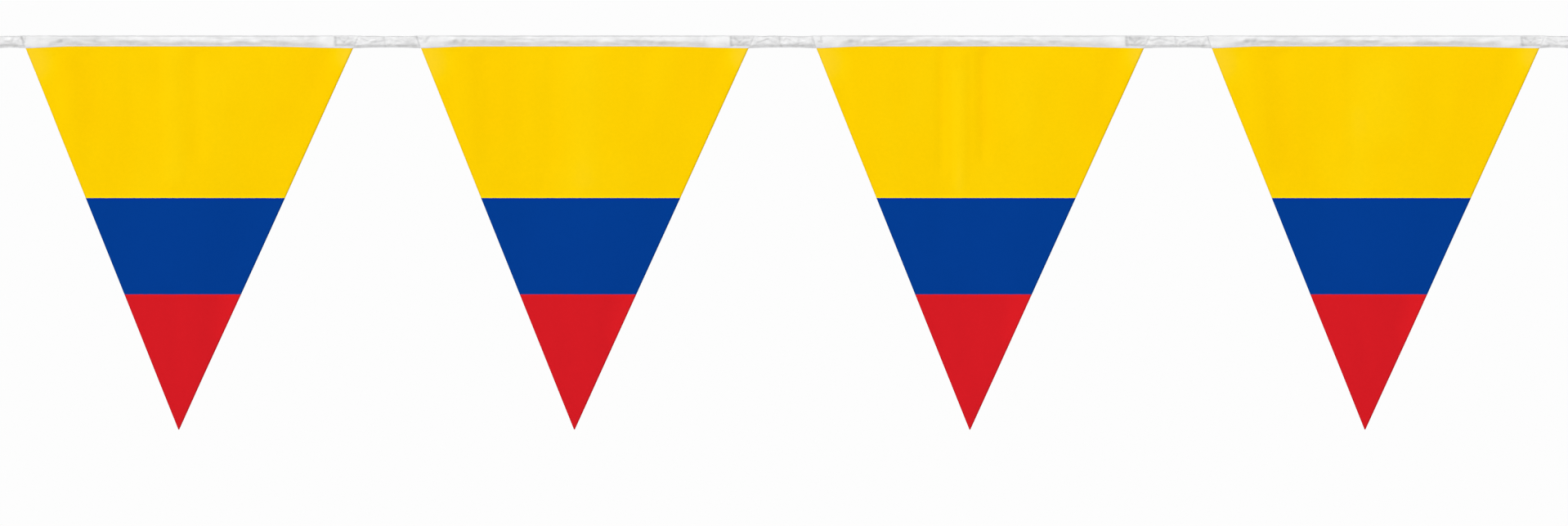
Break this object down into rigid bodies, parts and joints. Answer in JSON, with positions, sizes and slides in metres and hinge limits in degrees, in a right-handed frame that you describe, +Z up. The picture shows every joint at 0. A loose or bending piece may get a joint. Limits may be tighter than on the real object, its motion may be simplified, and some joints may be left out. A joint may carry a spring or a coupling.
{
  "type": "flag bunting",
  "caption": "Triangular cloth pennants with printed yellow, blue and red bands, hung in a row from a folded white tape.",
  "frame": {"origin": "middle of the tape's top edge, by which the string of pennants is held", "axes": "+X along the tape, to the right as seen from the front; -Y is the front; +Z up, against the hang of the pennants"},
  "size_m": [1.224, 0.0077, 0.3],
  "materials": {
    "tape_ribbon": "woven polyester ribbon, soft sheen",
    "pennant_cloth": "plain woven polyester, printed in bands"
  },
  "bodies": {
    "root": {"tape": "tape_ribbon", "pennant_1": "pennant_cloth", "pennant_2": "pennant_cloth", "pennant_3": "pennant_cloth", "pennant_4": "pennant_cloth"}
  },
  "joints": []
}
